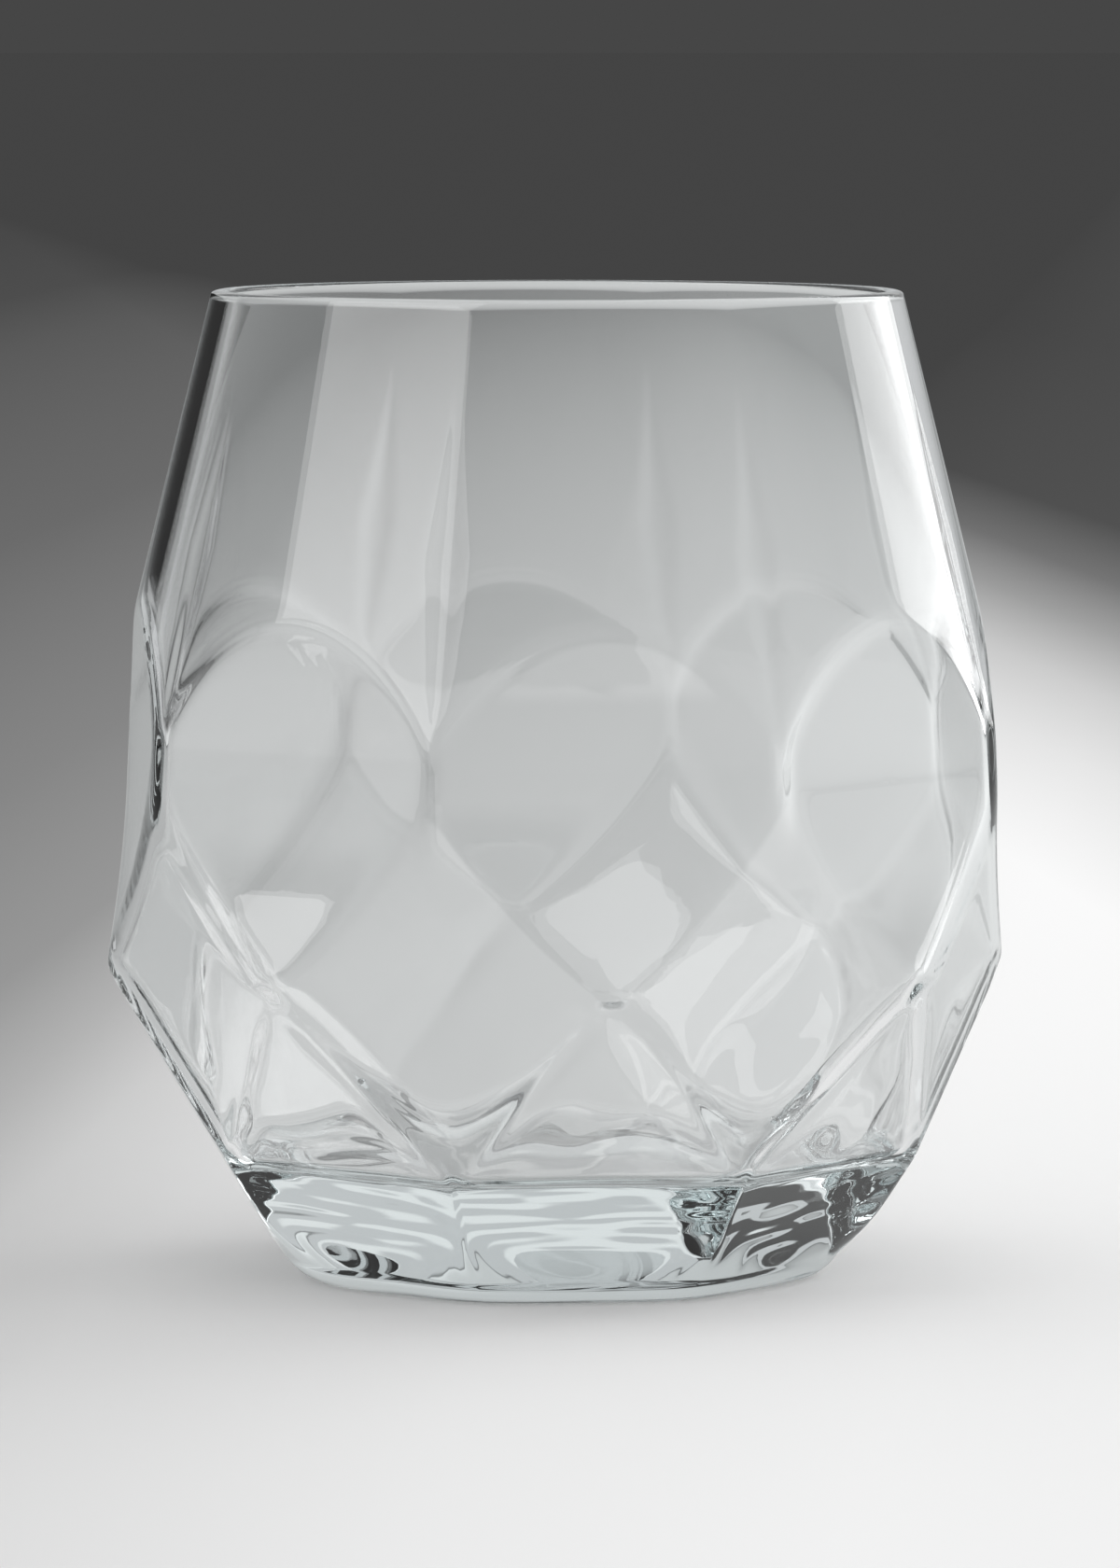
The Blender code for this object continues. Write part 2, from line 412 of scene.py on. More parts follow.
    def crossing(self, upper: Callable[[np.ndarray], np.ndarray], lower: Callable[[np.ndarray], np.ndarray],
                 low: float, high: float, like: np.ndarray) -> np.ndarray:
        """Height at which two surfaces meet, for each column.

        Args:
            upper: Radius of the surface that bounds the glass above the edge.
            lower: Radius of the surface that bounds it below the edge.
            low: Height under the edge.
            high: Height over the edge.
            like: Array of the columns' angles, for its shape.

        Returns:
            Height of the edge in each column.
        """
        bottom = np.full_like(like, low)
        top = np.full_like(like, high)
        for _ in range(self.halvings):
            middle = (bottom + top) / 2
            above = upper(middle) < lower(middle)
            top = np.where(above, middle, top)
            bottom = np.where(above, bottom, middle)
        return (bottom + top) / 2

    def turns(self) -> np.ndarray:
        """Angles of the columns, gathered at the facets' middles and corners.

        Returns:
            Angle of each column, from the front towards +X.
        """
        steps = np.arange(self.columns_per_half_facet) / self.columns_per_half_facet
        half = self.gathered(steps, self.column_gather) * self.half_facet
        starts = np.arange(2 * self.facet_count) * self.half_facet
        return (starts[:, None] + half[None, :]).ravel() + math.radians(self.facet_turn)

    @staticmethod
    def gathered(steps: np.ndarray, gather: float) -> np.ndarray:
        """Even steps from 0 to 1, drawn towards both ends."""
        return steps - gather / math.tau * np.sin(math.tau * steps)

    def edge_heights(self, turns: np.ndarray, depth: float) -> list[np.ndarray]:
        """Heights of the facets' edges in each column, from the scoops' tops down to the kites' feet.

        Args:
            turns: Angles of the columns.
            depth: 0 for the outer skin, 1 for the inner skin.

        Returns:
            Heights of the scoops' tops, and of the kites' upper and lower edges.
        """
        pitch = 2 * self.half_facet
        folded = np.abs((turns - math.radians(self.facet_turn) + self.half_facet) % pitch - self.half_facet)
        flat = np.cos(folded)
        across = np.cos(self.half_facet - folded)

        def taper(z: np.ndarray) -> np.ndarray:
            """Radius of the taper at a height."""
            return self.taper(z) - depth * self.lip_wall_across

        def scoop(z: np.ndarray) -> np.ndarray:
            """Radius of the nearest scoop at a height."""
            return (self.scoop(z) - depth * self.belly_wall) / flat

        def kite(z: np.ndarray) -> np.ndarray:
            """Radius of the nearest kite at a height."""
            return (self.kite(z) - depth * self.belly_wall) / across

        def lower(z: np.ndarray) -> np.ndarray:
            """Radius of the nearest lower flat at a height."""
            return (self.lower(z) - depth * self.lower_wall_across) / flat

        scoop_top = self.crossing(taper, scoop, self.belt_height, self.height, turns)
        kite_top = self.crossing(scoop, kite, self.belt_height, self.scoop_height, turns)
        kite_foot = self.crossing(kite, lower, 0.0, self.belt_height + self.belly_wall, turns)
        kite_top = np.maximum(kite_top, self.belt_height + self.belt_row_gap)
        kite_foot = np.minimum(kite_foot, kite_top - 2 * self.belt_row_gap)
        return [scoop_top, kite_top, kite_foot]

    def arc_top(self, radius: float) -> float:
        """Height over its foot at which an arc of that radius leaves a lower flat."""
        return radius * (1.0 - math.sin(math.radians(self.lower_flat_angle)))

    def foot_arc(self, radius: float, foot: float, steps: int) -> list[tuple[float, float]]:
        """Arc that runs from a lower flat's slope round to the level.

        Args:
            radius: Radius of the arc.
            foot: Height of the level that it runs into.
            steps: Number of steps.

        Returns:
            Inset and height of each point below the flat.
        """
        start = math.radians(-self.lower_flat_angle)
        end = math.radians(-90.0)
        angles = [start + (end - start) * i / steps for i in range(1, steps + 1)]
        return [(radius * (math.cos(start) - math.cos(a)), foot + radius * (1.0 + math.sin(a)))
                for a in angles]

    def rows(self, turns: np.ndarray) -> list[dict[VertexField, np.ndarray]]:
        """Rows of the closed skin, from the floor's middle over the lip to the middle of the foot.

        Args:
            turns: Angles of the columns.

        Returns:
            Fields of each row.
        """
        rows: list[dict[VertexField, np.ndarray]] = []

        def row(rise: Any, depth: float, level: Any = None, inset: float = 0.0, share: float = 1.0) -> None:
            """Add one row.

            Args:
                rise: Height of its points.
                depth: 0 on the outer skin, 1 on the inner skin.
                level: Height at which the wall's radius is worked out, or nothing where it is the same.
                inset: How far the points are drawn in from the wall.
                share: Share of that radius.
            """
            height = np.zeros_like(turns) + rise
            calm = np.clip((height - self.ripple_foot) / (self.ripple_top - self.ripple_foot), 0.0, 1.0)
            ripple = (1.0 - calm) * (depth + (1.0 - depth) * self.outer_ripple)
            values = (turns, rise if level is None else level, rise, depth, inset, share, ripple)
            rows.append({key: np.zeros_like(turns) + value for key, value in zip(VertexField, values)})

        floor_level = self.floor_thickness + self.arc_top(self.floor_fillet)
        floor_arc = self.foot_arc(self.floor_fillet, self.floor_thickness, self.fillet_rows)
        for share in np.linspace(0.0, 1.0, self.floor_rows)[:-1]:
            row(self.floor_thickness, 1.0, floor_level, floor_arc[-1][0], share)
        for inset, rise in reversed(floor_arc):
            row(rise, 1.0, floor_level, inset)
        lip_middle = self.height - self.lip_rise
        lip_foot = np.full_like(turns, lip_middle)
        inner_foot = np.full_like(turns, floor_level)
        inner = [inner_foot] + self.edge_heights(turns, 1.0)[::-1] + [lip_foot]
        inner[1] = np.maximum(inner[1], inner_foot + self.belt_row_gap)
        for (lower, upper), count in zip(zip(inner, inner[1:]), self.inner_rows):
            for step in self.gathered(np.arange(count) / count, self.row_gather):
                row(lower + (upper - lower) * step, 1.0)
        for angle in np.linspace(math.pi, 0.0, self.lip_rows):
            row(lip_middle + self.lip_rise * math.sin(angle), (1.0 - math.cos(angle)) / 2)
        outer_foot = np.full_like(turns, self.arc_top(self.heel_radius))
        outer = [lip_foot] + self.edge_heights(turns, 0.0) + [outer_foot]
        for (upper, lower), count in zip(zip(outer, outer[1:]), self.outer_rows):
            for step in self.gathered(np.arange(1, count + 1) / count, self.row_gather):
                row(upper + (lower - upper) * step, 0.0)
        heel_level = self.arc_top(self.heel_radius)
        heel_arc = self.foot_arc(self.heel_radius, 0.0, self.heel_rows)
        for inset, rise in heel_arc:
            row(rise, 0.0, heel_level, inset)
        heel_inset = heel_arc[-1][0]
        ring_inset = heel_inset + self.foot_ring_width
        row(0.0, 0.0, heel_level, (heel_inset + ring_inset) / 2)
        for share in np.linspace(1.0, 0.0, self.foot_rows):
            row(self.push_up * (1.0 - share ** 2), 0.0, heel_level, ring_inset, share)
        return rows

    def grid(self) -> bpy.types.Mesh:
        """Closed grid that carries the fields, before the rule shapes it.

        Returns:
            Mesh with one pole at the floor's middle and one at the middle of the foot.
        """
        turns = self.turns()
        rows = self.rows(turns)
        width = len(turns)
        first, last = rows[0], rows[-1]
        middle = rows[1:-1]
        fields = {
            key: np.concatenate([first[key][:1]] + [r[key] for r in middle] + [last[key][:1]])
            for key in VertexField
        }
        count = len(fields[VertexField.TURN])
        faces: list[tuple[int, ...]] = []
        ahead = np.roll(np.arange(width), -1)
        for j in range(width):
            faces.append((0, 1 + j, 1 + ahead[j]))
        for i in range(len(middle) - 1):
            near = 1 + i * width
            far = near + width
            for j in range(width):
                faces.append((near + j, far + j, far + ahead[j], near + ahead[j]))
        rim = 1 + (len(middle) - 1) * width
        for j in range(width):
            faces.append((rim + j, count - 1, rim + ahead[j]))
        mesh = bpy.data.meshes.new("tumbler_grid")
        mesh.from_pydata([(0.0, 0.0, 0.0)] * count, [], faces)
        for key, values in fields.items():
            layer = mesh.attributes.new(key.value, "FLOAT", "POINT")
            layer.data.foreach_set("value", values.astype(np.float32))
        return mesh

    def rule_inputs(self) -> dict[str, float]:
        """Named sizes that the node tree takes.

        Returns:
            Size of each input, by name.
        """
        return {
            "Facet count": float(self.facet_count),
            "Facet turn": math.radians(self.facet_turn),
            "Height": self.height,
            "Lip radius": self.lip_radius,
            "Taper slope": self.taper_slope,
            "Scoop radius": self.scoop_radius,
            "Scoop height": self.scoop_height,
            "Scoop centre": self.scoop_centre,
            "Belt radius": self.belt_radius,
            "Belt height": self.belt_height,
            "Kite distance": self.kite_at_belt,
            "Kite slope": self.kite_slope,
            "Kite foot slope": self.kite_foot_slope,
            "Kite bend": self.kite_bend,
            "Lower slope": self.lower_slope,
            "Lip wall": self.lip_wall_across,
            "Belly wall": self.belly_wall,
            "Lower wall": self.lower_wall_across,
            "Ripple height": self.ripple_height,
            "Ripples per metre": 1.0 / self.ripple_length,
            "Soft top": self.soft_top,
            "Soft span": self.soft_top - self.soft_foot,
            "Heel slope": math.tan(math.radians(self.heel_angle)),
            "Heel radius": self.heel_cone_radius,
            "Heel softness": self.heel_softness,
            "Ridge height": self.ridge_height,
            "Ridge reach up": self.ridge_reach_up,
            "Ridge reach down": -self.ridge_reach_down,
            "Ridge half angle": self.ridge_half_width / self.scoop(self.ridge_height),
            "Ridge thickness": self.ridge_thickness,
        } | self.softness_inputs()

    def softness_inputs(self) -> dict[str, float]:
        """Named softness of each kind of edge on the outer skin, and what the inner skin adds to it.

        Returns:
            Softness of each input, by name.
        """
        pairs = {"Corner": self.corner_softness, "Edge": self.edge_softness, "Arc": self.arc_softness,
                 "Foot": self.foot_softness}
        outer = {f"{kind} softness": pair[0] for kind, pair in pairs.items()}
        inward = {f"{kind} softness inward": pair[1] - pair[0] for kind, pair in pairs.items()}
        return outer | inward

    def facet_tree(self) -> tuple[bpy.types.NodeTree, dict[str, str]]:
        """Build the node tree that places each point of the grid by the facet rule.

        Returns:
            The tree, and the identifier of each named input.
        """
        tree = bpy.data.node_groups.new("facet_rule", "GeometryNodeTree")
        new_socket = tree.interface.new_socket
        new_socket("Geometry", in_out="OUTPUT", socket_type="NodeSocketGeometry")
        new_socket("Geometry", in_out="INPUT", socket_type="NodeSocketGeometry")
        identifiers = {"Material": new_socket("Material", in_out="INPUT",
                                              socket_type="NodeSocketMaterial").identifier}
        for name in self.rule_inputs():
            identifiers[name] = new_socket(name, in_out="INPUT", socket_type="NodeSocketFloat").identifier
        group_in = add_node(tree, "NodeGroupInput")
        values: dict[str, Any] = {name: group_in.outputs[name] for name in self.rule_inputs()}
        for key in VertexField:
            read = add_node(tree, "GeometryNodeInputNamedAttribute", {"Name": key.value}, data_type="FLOAT")
            values[key.value] = read.outputs["Attribute"]
        values = follow_rule(tree, FACET_RULE, values)
        place = add_node(tree, "ShaderNodeCombineXYZ", (values["x"], values["y"], values["rise"]))
        moved = add_node(tree, "GeometryNodeSetPosition", {
            "Geometry": group_in.outputs["Geometry"], "Position": place.outputs["Vector"]})
        waves = add_node(tree, "ShaderNodeTexNoise", {
            "Vector": place.outputs["Vector"], "Scale": values["Ripples per metre"], "Detail": 0.0})
        values = follow_rule(tree, (
            ("swing", "SUBTRACT", ("wave", WAVE_MIDDLE)),
            ("reach", "MULTIPLY", ("Ripple height", "ripple")),
            ("lift", "MULTIPLY", ("swing", "reach")),
        ), values | {"wave": waves.outputs["Fac"]})
        facing = add_node(tree, "GeometryNodeInputNormal")
        push = add_node(tree, "ShaderNodeVectorMath", {0: facing.outputs["Normal"], "Scale": values["lift"]},
                        operation="SCALE")
        rippled = add_node(tree, "GeometryNodeSetPosition", {
            "Geometry": moved.outputs["Geometry"], "Offset": push.outputs["Vector"]})
        cut = add_node(tree, "GeometryNodeTriangulate", {"Mesh": rippled.outputs["Geometry"]},
                       quad_method="SHORTEST_DIAGONAL")
        smooth = add_node(tree, "GeometryNodeSetShadeSmooth", {"Geometry": cut.outputs["Mesh"]})
        real = add_node(tree, "GeometryNodeRealizeInstances", {"Geometry": smooth.outputs["Geometry"]})
        dressed = add_node(tree, "GeometryNodeSetMaterial", {
            "Geometry": real.outputs["Geometry"], "Material": group_in.outputs["Material"]})
        add_node(tree, "NodeGroupOutput", {"Geometry": dressed.outputs["Geometry"]})
        return tree, identifiers

    def build(self) -> bpy.types.Object:
        """Make the glass as a plain mesh in its place.

        Returns:
            The finished object, at the origin.
        """
        glass = bpy.data.objects.new("moulded_tumbler", self.grid())
        bpy.context.scene.collection.objects.link(glass)
        tree, identifiers = self.facet_tree()
        rule = glass.modifiers.new("facet_rule", "NODES")
        rule.node_group = tree
        rule[identifiers["Material"]] = self.finish.material()
        for name, value in self.rule_inputs().items():
            rule[identifiers[name]] = value
        depsgraph = bpy.context.evaluated_depsgraph_get()
        shaped = bpy.data.meshes.new_from_object(glass.evaluated_get(depsgraph))
        glass.modifiers.remove(rule)
        glass.data = shaped
        shaped.name = "moulded_tumbler"
        for key in VertexField:
            shaped.attributes.remove(shaped.attributes[key.value])
        return glass

    def dress(self, glass: bpy.types.Object) -> None:
        """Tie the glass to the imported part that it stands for.

        Args:
            glass: The finished glass.
        """
        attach(glass, BODY)
        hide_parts(CAD_NODE)


@dataclass(frozen=True)
class StudioPaper:
    """Matt white paper with a pool of light painted into its colour, fading to painted shade at the back
    left.

    Near the glass it is pale, and it keeps the glass's shadow. Seen through the glass or in its reflections
    it glows with painted light instead: pale in front, painted shade under the foot, and darker far behind.
    """

    name: str = "matt_studio_paper"
    # Painted light: the paper's colour is pale near the glass and falls to painted shade far away, never
    # darker than this
    dark: str = "484848"
    left_fall: tuple[float, float, float] = (1.0, -0.08, 0.0)
    left_painted_light_stops: tuple[tuple[float, str], ...] = (
        (-0.96, "464646"), (-0.54, "525252"), (-0.44, "606060"), (-0.25, "707070"), (-0.145, "888888"),
        (-0.10, "9A9A9A"), (-0.08, "B8B8B8"), (-0.065, "D3D3D3"), (-0.045, "E3E3E3"), (0.0, "F3F3F3"),
        (0.04, "FAFAFA"))
    right_fall: tuple[float, float, float] = (1.0, 0.1, 0.0)
    right_painted_light_stops: tuple[tuple[float, str], ...] = (
        (0.12, "FFFFFF"), (0.16, "EAEAEA"), (0.19, "D3D3D3"), (0.22, "A8A8A8"), (0.25, "7C7C7C"),
        (0.29, "585858"), (0.5, "535353"))
    # Painted glow tones of the paper seen through the glass; under the foot they are painted shade
    through_front: str = "EEEEEE"
    through_painted_shade: str = "949696"
    through_near: str = "C2C4C4"
    through_far: str = "767878"
    far_reach: tuple[float, float] = (0.3, 3.4)
    front_edge: tuple[float, float] = (-0.06, 0.06)
    painted_shade_edge: tuple[float, float] = (0.026, 0.040)
    front_fade: tuple[float, float] = (-0.55, -0.40)
    front_least: float = 0.05
    through_least: float = 0.12
    left_reach: tuple[float, float] = (-0.3, -0.7)
    left_strength: float = 0.75
    side_reach: tuple[float, float] = (-0.15, 0.30)
    side_strengths: tuple[float, float] = (0.8, 1.7)

    def ramp(self, tree: bpy.types.NodeTree, place: bpy.types.NodeSocket, way: tuple[float, float, float],
             stops: Sequence[tuple[float, str]]) -> bpy.types.NodeSocket:
        """Add a run of painted light and shade across the paper.

        Args:
            tree: Tree of the paper's material.
            place: Socket with the place on the paper.
            way: Direction of the run; its length scales the stops.
            stops: Distance along that direction, and tone there.

        Returns:
            Socket with the tone.
        """
        first, last = stops[0][0], stops[-1][0]
        run = add_node(tree, "ShaderNodeVectorMath", (place, way), operation="DOT_PRODUCT")
        values = follow_rule(tree, (("share", Step.EVEN, ("run", first, last)),),
                             {"run": run.outputs["Value"]})
        node = add_node(tree, "ShaderNodeValToRGB", {"Fac": values["share"]})
        elements = node.color_ramp.elements
        while len(elements) < len(stops):
            elements.new(0.5)
        for element, (distance, tone) in zip(elements, stops):
            element.position = (distance - first) / (last - first)
            element.color = linear(tone)
        return node.outputs["Color"]

    def through_rule(self) -> Rule:
        """Rule for the paper's painted glow through the glass and in its reflections, place by place.

        Returns:
            Steps that give the share of each tone, and the strength of the whole.
        """
        weak, strong = self.side_strengths
        return (
            # Which painted tone: far or near, behind or in front, clear of the foot or in painted shade
            # under it
            ("far", Step.EVEN, ("y", *self.far_reach)),
            ("behind", Step.SOFT, ("y", *self.front_edge)),
            ("clear", Step.SOFT, ("distance", *self.painted_shade_edge)),
            # The painted glow fades at the front, less so on the left and for what shows straight through
            # the glass
            ("front_share", Step.SOFT, ("y", *self.front_fade)),
            ("front", "MULTIPLY_ADD", ("front_share", 1.0 - self.front_least, self.front_least)),
            ("left_share", Step.SOFT, ("x", *self.left_reach)),
            ("left", "MULTIPLY", ("left_share", self.left_strength)),
            ("lit", "MAXIMUM", ("front", "left")),
            ("least", "MULTIPLY", ("transmitted", self.through_least)),
            ("shown", "MAXIMUM", ("lit", "least")),
            # Behind the glass the painted glow brightens towards the right
            ("across", Step.EVEN, ("x", *self.side_reach)),
            ("side_gain", "MULTIPLY_ADD", ("across", strong - weak, weak - 1.0)),
            ("fall", "MULTIPLY_ADD", ("behind", "side_gain", 1.0)),
            ("strength", "MULTIPLY", ("shown", "fall")),
            ("seen", "MAXIMUM", ("transmitted", "reflected")),
        )

    def material(self) -> bpy.types.Material:
        """Build the material.

        Returns:
            Diffuse paper with a pool of light painted into its tone, and a painted glow seen through glass.
        """
        material = bpy.data.materials.new(self.name)
        material.use_nodes = True
        tree = material.node_tree
        tree.nodes.clear()
        place = add_node(tree, "ShaderNodeTexCoord").outputs["Object"]
        left = self.ramp(tree, place, self.left_fall, self.left_painted_light_stops)
        right = self.ramp(tree, place, self.right_fall, self.right_painted_light_stops)
        # Painted pool of light and shade in the paper's diffuse colour
        painted_light_pool = add_node(tree, "ShaderNodeVectorMath", (left, right), operation="MULTIPLY")
        tone = add_node(tree, "ShaderNodeVectorMath", (painted_light_pool.outputs["Vector"], linear(self.dark)[:3]),
                        operation="MAXIMUM")
        paper = add_node(tree, "ShaderNodeBsdfDiffuse", {"Color": tone.outputs["Vector"]})
        axes = add_node(tree, "ShaderNodeSeparateXYZ", {"Vector": place})
        distance = add_node(tree, "ShaderNodeVectorMath", (place,), operation="LENGTH")
        path = add_node(tree, "ShaderNodeLightPath")
        values = follow_rule(tree, self.through_rule(), {
            "x": axes.outputs["X"], "y": axes.outputs["Y"], "distance": distance.outputs["Value"],
            "transmitted": path.outputs["Is Transmission Ray"], "reflected": path.outputs["Is Glossy Ray"]})
        through: Any = linear(self.through_far)
        for share, colour in (("far", self.through_near), ("behind", self.through_front),
                              ("clear", self.through_painted_shade)):
            layer = add_node(tree, "ShaderNodeMix", {0: values[share], 6: linear(colour), 7: through},
                             data_type="RGBA")
            through = layer.outputs[2]
        # Painted light: the paper glows with these tones for rays that come through or off the glass
        glow = add_node(tree, "ShaderNodeEmission", {"Color": through, "Strength": values["strength"]})
        mixed = add_node(tree, "ShaderNodeMixShader", {
            "Fac": values["seen"], 1: paper.outputs["BSDF"], 2: glow.outputs["Emission"]})
        add_node(tree, "ShaderNodeOutputMaterial", {"Surface": mixed.outputs["Shader"]})
        return material


@dataclass(frozen=True)
class SoftBox:
    """One soft box: where it hangs round the glass, its size and how bright its face is."""

    name: str
    azimuth: float
    elevation: float
    distance: float
    width: float
    height: float
    radiance: float
    lights_paper: bool = True
    colour: str = "FFFFFF"
    aim_height: float = 0.055

    def hang(self) -> bpy.types.Object:
        """Make the lamp and aim it at the middle of the glass.

        Returns:
            The lamp's object.
        """
        lamp = bpy.data.lights.new(self.name, "AREA")
        lamp.shape = "RECTANGLE"
        lamp.size = self.width
        lamp.size_y = self.height
        lamp.energy = self.radiance * math.pi * self.width * self.height
        lamp.color = linear(self.colour)[:3]
        hung = bpy.data.objects.new(self.name, lamp)
        azimuth = math.radians(self.azimuth)
        elevation = math.radians(self.elevation)
        aim = Vector((0.0, 0.0, self.aim_height))
        away = Vector((math.sin(azimuth) * math.cos(elevation), -math.cos(azimuth) * math.cos(elevation),
                       math.sin(elevation)))
        hung.location = aim + away * self.distance
        hung.rotation_euler = away.to_track_quat("Z", "Y").to_euler()
        hung.visible_camera = False
        hung.visible_diffuse = self.lights_paper
        bpy.context.scene.collection.objects.link(hung)
        return hung


@dataclass
class Studio:
    """Paper, soft boxes, surroundings and camera."""

    paper: StudioPaper = field(default_factory=StudioPaper)
    paper_radius: float = 40.0
    paper_sides: int = 96
    boxes: tuple[SoftBox, ...] = (
        SoftBox("left_soft_box", -57.0, 30.0, 1.1, 1.0, 0.8, 1.8, False),
        SoftBox("right_strip_box", 127.0, 18.0, 1.1, 0.7, 0.7, 1.7),
    )
    # Even light on the paper, and the tones of the room that the camera and the glass see
    room_light: float = 0.9
    light_colour: str = "FFFFFF"
    room_seen: str = "464646"
    room_front: str = "303030"
    room_right: str = "9A9C9C"
    room_beside: str = "D4D6D6"
    room_back: str = "C6C8C9"
    room_high: str = "C6C9CA"
    room_strip: str = "E8EAEA"
    # Where each tone begins and is full: angles from the back, or parts of the direction along X, Y or Z
    right_reach: tuple[float, float] = (0.2, 0.9)
    beside_reach: tuple[float, float] = (0.60, 0.85)
    beside_height: tuple[float, float] = (0.16, 0.08)
    back_edges: tuple[float, float] = (-46.0, 46.0)
    back_fade: float = 8.0
    back_step: float = -8.0
    back_foot: float = 0.13
    sill_softness: tuple[float, float] = (-0.01, 0.02)
    slant_fall: float = -0.196
    slant_height: float = -0.060
    slant_softness: float = 0.005
    flank_edges: tuple[float, float] = (-38.5, -40.0)
    strip_foot: tuple[float, float] = (0.12, 0.15)
    strip_top: tuple[float, float] = (0.24, 0.20)
    dome_foot: tuple[float, float] = (0.35, 0.6)
    dome_top: tuple[float, float] = (0.80, 0.74)
    dome_front: tuple[float, float] = (-0.35, -0.15)
    # Light paths, and the camera that was fitted to the photograph
    light_bounces: int = 24
    camera_place: tuple[float, float, float] = (0.000311, -0.94555, 0.13312)
    camera_pitch: float = 4.888
    focal_pixels: float = 9521.3
    clip_range: tuple[float, float] = (0.05, 200.0)

    def lay_paper(self) -> bpy.types.Object:
        """Lay the paper under the glass.

        Returns:
            The paper's object.
        """
        mesh = bpy.data.meshes.new("studio_paper")
        turns = [math.tau * i / self.paper_sides for i in range(self.paper_sides)]
        points = [(self.paper_radius * math.cos(turn), self.paper_radius * math.sin(turn), 0.0)
                  for turn in turns]
        mesh.from_pydata(points, [], [tuple(range(self.paper_sides))])
        mesh.materials.append(self.paper.material())
        sheet = bpy.data.objects.new("studio_paper", mesh)
        bpy.context.scene.collection.objects.link(sheet)
        return sheet

    def room_rule(self) -> Rule:
        """Rule for where each tone of the room lies, by direction.

        Returns:
            Steps that give the share of each tone.
        """
        left, right, step = (math.radians(angle) for angle in (*self.back_edges, self.back_step))
        fade = math.radians(self.back_fade) / 2
        flank_edges = (math.radians(angle) for angle in self.flank_edges)
        return (
            ("turn", "ARCTAN2", ("x", "y")),
            ("right", Step.SOFT, ("x", *self.right_reach)),
            # Low glow far out on both sides
            ("aside", "ABSOLUTE", ("x",)),
            ("far_aside", Step.SOFT, ("aside", *self.beside_reach)),
            ("low", Step.SOFT, ("z", *self.beside_height)),
            ("beside", "MULTIPLY", ("far_aside", "low")),
            # Pale wall behind the glass, with a dark foot that ends in a step, a slant and a flank
            ("opening", Step.SOFT, ("turn", left - fade, left + fade)),
            ("closing", Step.SOFT, ("turn", right + fade, right - fade)),
            ("ledge", Step.SOFT, ("turn", step + fade, step - fade)),
            ("sill", "MULTIPLY_ADD", ("ledge", -self.back_foot, "z")),
            ("over", Step.SOFT, ("sill", *self.sill_softness)),
            ("slant", "MULTIPLY_ADD", ("turn", self.slant_fall, self.slant_height)),
            ("gap", "SUBTRACT", ("slant", "z")),
            ("under", Step.SOFT, ("gap", -self.slant_softness, self.slant_softness)),
            ("lifted", "MAXIMUM", ("over", "under")),
            ("flank", Step.SOFT, ("turn", *flank_edges)),
            ("raised", "MAXIMUM", ("lifted", "flank")),
            ("window", "MULTIPLY", ("opening", "closing")),
            ("wall", "MULTIPLY", ("window", "raised")),
            # Brighter strip along that wall
            ("above_strip_foot", Step.SOFT, ("z", *self.strip_foot)),
            ("below_strip_top", Step.SOFT, ("z", *self.strip_top)),
            ("strip", "MULTIPLY", ("above_strip_foot", "below_strip_top")),
            # Pale dome overhead, dark at the very top and towards the front
            ("high", Step.SOFT, ("z", *self.dome_foot)),
            ("below_top", Step.SOFT, ("z", *self.dome_top)),
            ("backward", Step.SOFT, ("y", *self.dome_front)),
            ("ceiling", "MULTIPLY", ("high", "below_top")),
            ("dome", "MULTIPLY", ("ceiling", "backward")),
        )

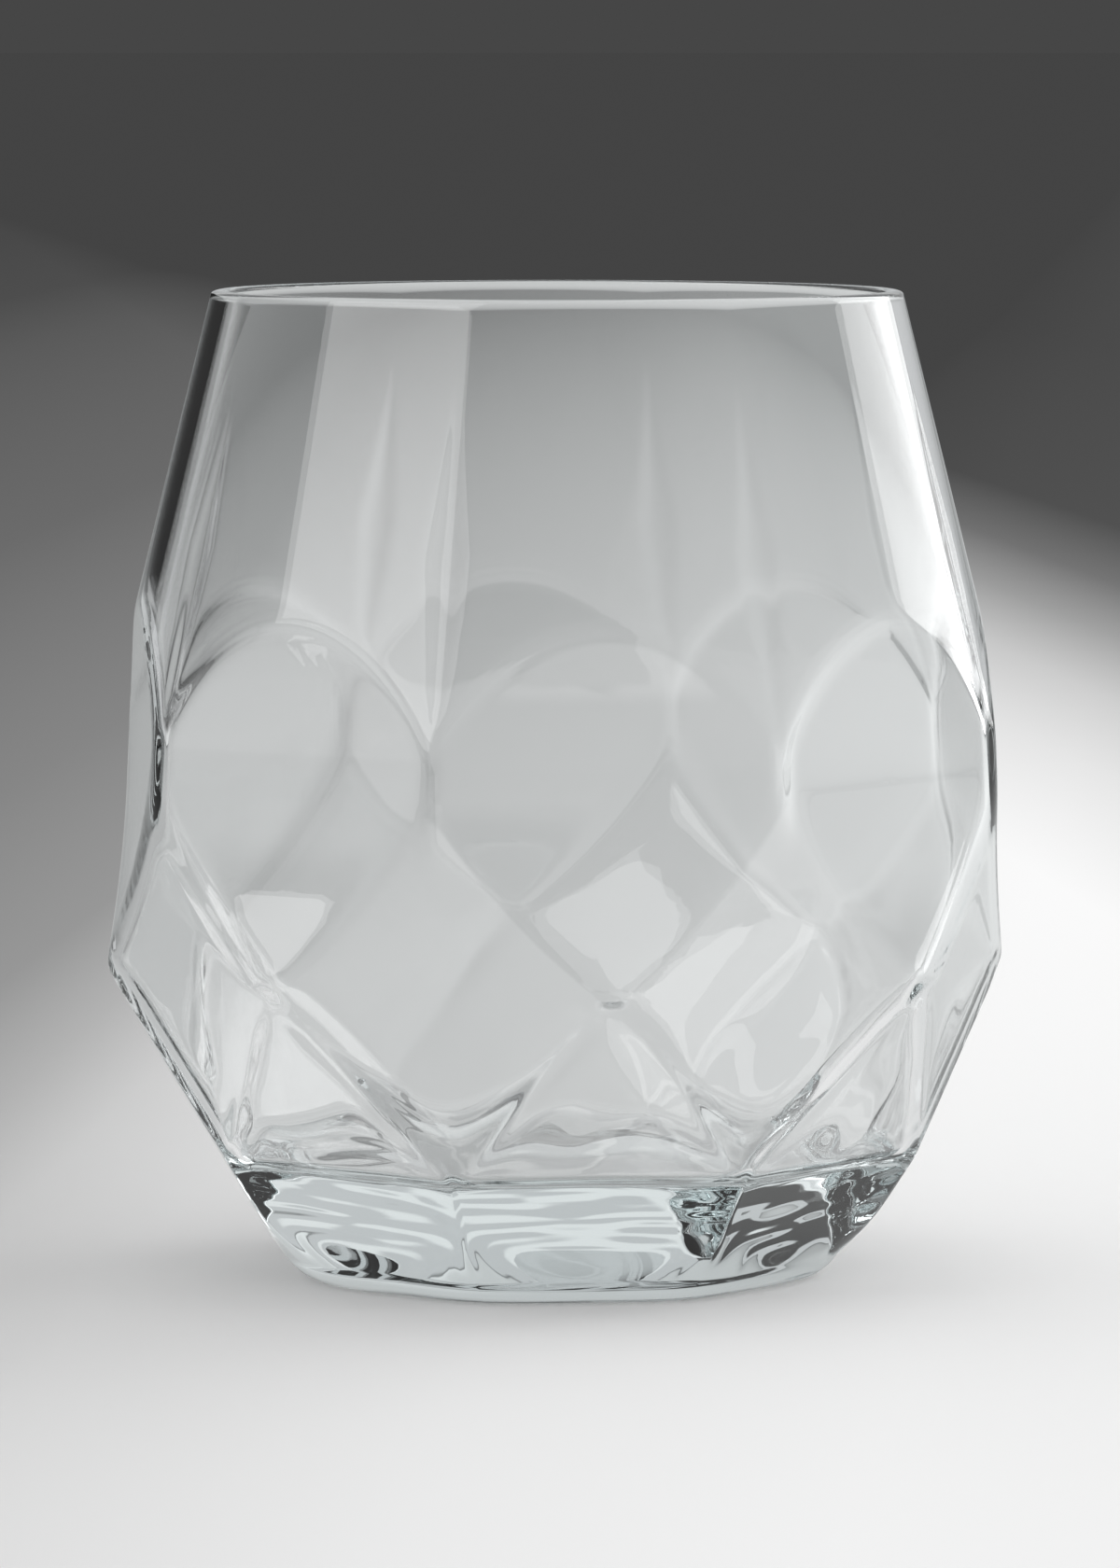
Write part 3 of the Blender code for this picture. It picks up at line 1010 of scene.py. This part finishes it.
    def surround(self) -> None:
        """Give the room its even light, and the tones that the camera and the glass see."""
        world = bpy.data.worlds.new("studio_room")
        bpy.context.scene.world = world
        world.use_nodes = True
        tree = world.node_tree
        tree.nodes.clear()
        path = add_node(tree, "ShaderNodeLightPath")
        place = add_node(tree, "ShaderNodeTexCoord")
        axes = add_node(tree, "ShaderNodeSeparateXYZ", {"Vector": place.outputs["Generated"]})
        values = follow_rule(tree, self.room_rule(), {
            "x": axes.outputs["X"], "y": axes.outputs["Y"], "z": axes.outputs["Z"]})
        back = add_node(tree, "ShaderNodeMix", {
            0: values["strip"], 6: linear(self.room_back), 7: linear(self.room_strip)}, data_type="RGBA")
        tone: Any = linear(self.room_front)
        for share, colour in ((values["right"], linear(self.room_right)),
                              (values["beside"], linear(self.room_beside)),
                              (values["wall"], back.outputs[2]),
                              (values["dome"], linear(self.room_high)),
                              (path.outputs["Is Camera Ray"], linear(self.room_seen))):
            layer = add_node(tree, "ShaderNodeMix", {0: share, 6: tone, 7: colour}, data_type="RGBA")
            tone = layer.outputs[2]
        shown = add_node(tree, "ShaderNodeBackground", {"Color": tone, "Strength": 1.0})
        lit = add_node(tree, "ShaderNodeBackground", {
            "Color": linear(self.light_colour), "Strength": self.room_light})
        from_paper = add_node(tree, "ShaderNodeMath", (path.outputs["Diffuse Depth"], 1.0),
                              operation="MINIMUM")
        mixed = add_node(tree, "ShaderNodeMixShader", {
            "Fac": from_paper.outputs[0], 1: shown.outputs["Background"], 2: lit.outputs["Background"]})
        add_node(tree, "ShaderNodeOutputWorld", {"Surface": mixed.outputs["Shader"]})

    def set_camera(self) -> bpy.types.Object:
        """Stand the camera where the photograph was taken from.

        Returns:
            The camera's object.
        """
        lens = bpy.data.cameras.new("photograph_view")
        lens.sensor_width = SENSOR_MM
        lens.lens = self.focal_pixels * SENSOR_MM / PICTURE_HEIGHT
        lens.clip_start, lens.clip_end = self.clip_range
        camera = bpy.data.objects.new("photograph_view", lens)
        camera.location = self.camera_place
        camera.rotation_euler = (math.radians(90.0 - self.camera_pitch), 0.0, 0.0)
        bpy.context.scene.collection.objects.link(camera)
        bpy.context.scene.camera = camera
        return camera

    def build(self) -> None:
        """Set the whole studio up."""
        scene = bpy.context.scene
        scene.view_settings.view_transform = "Standard"
        scene.cycles.max_bounces = self.light_bounces
        scene.cycles.glossy_bounces = self.light_bounces
        scene.cycles.transmission_bounces = self.light_bounces
        self.set_camera()
        self.lay_paper()
        for box in self.boxes:
            box.hang()
        self.surround()


def main() -> None:
    """Build the glass and the studio in order."""
    logging.basicConfig(level=logging.INFO, format="%(name)s: %(message)s")
    Studio().build()
    tumbler = FacetedTumbler()
    glass = tumbler.build()
    tumbler.dress(glass)
    LOG.info("%s: %d faces", glass.name, len(glass.data.polygons))


if __name__ == "__main__":
    main()
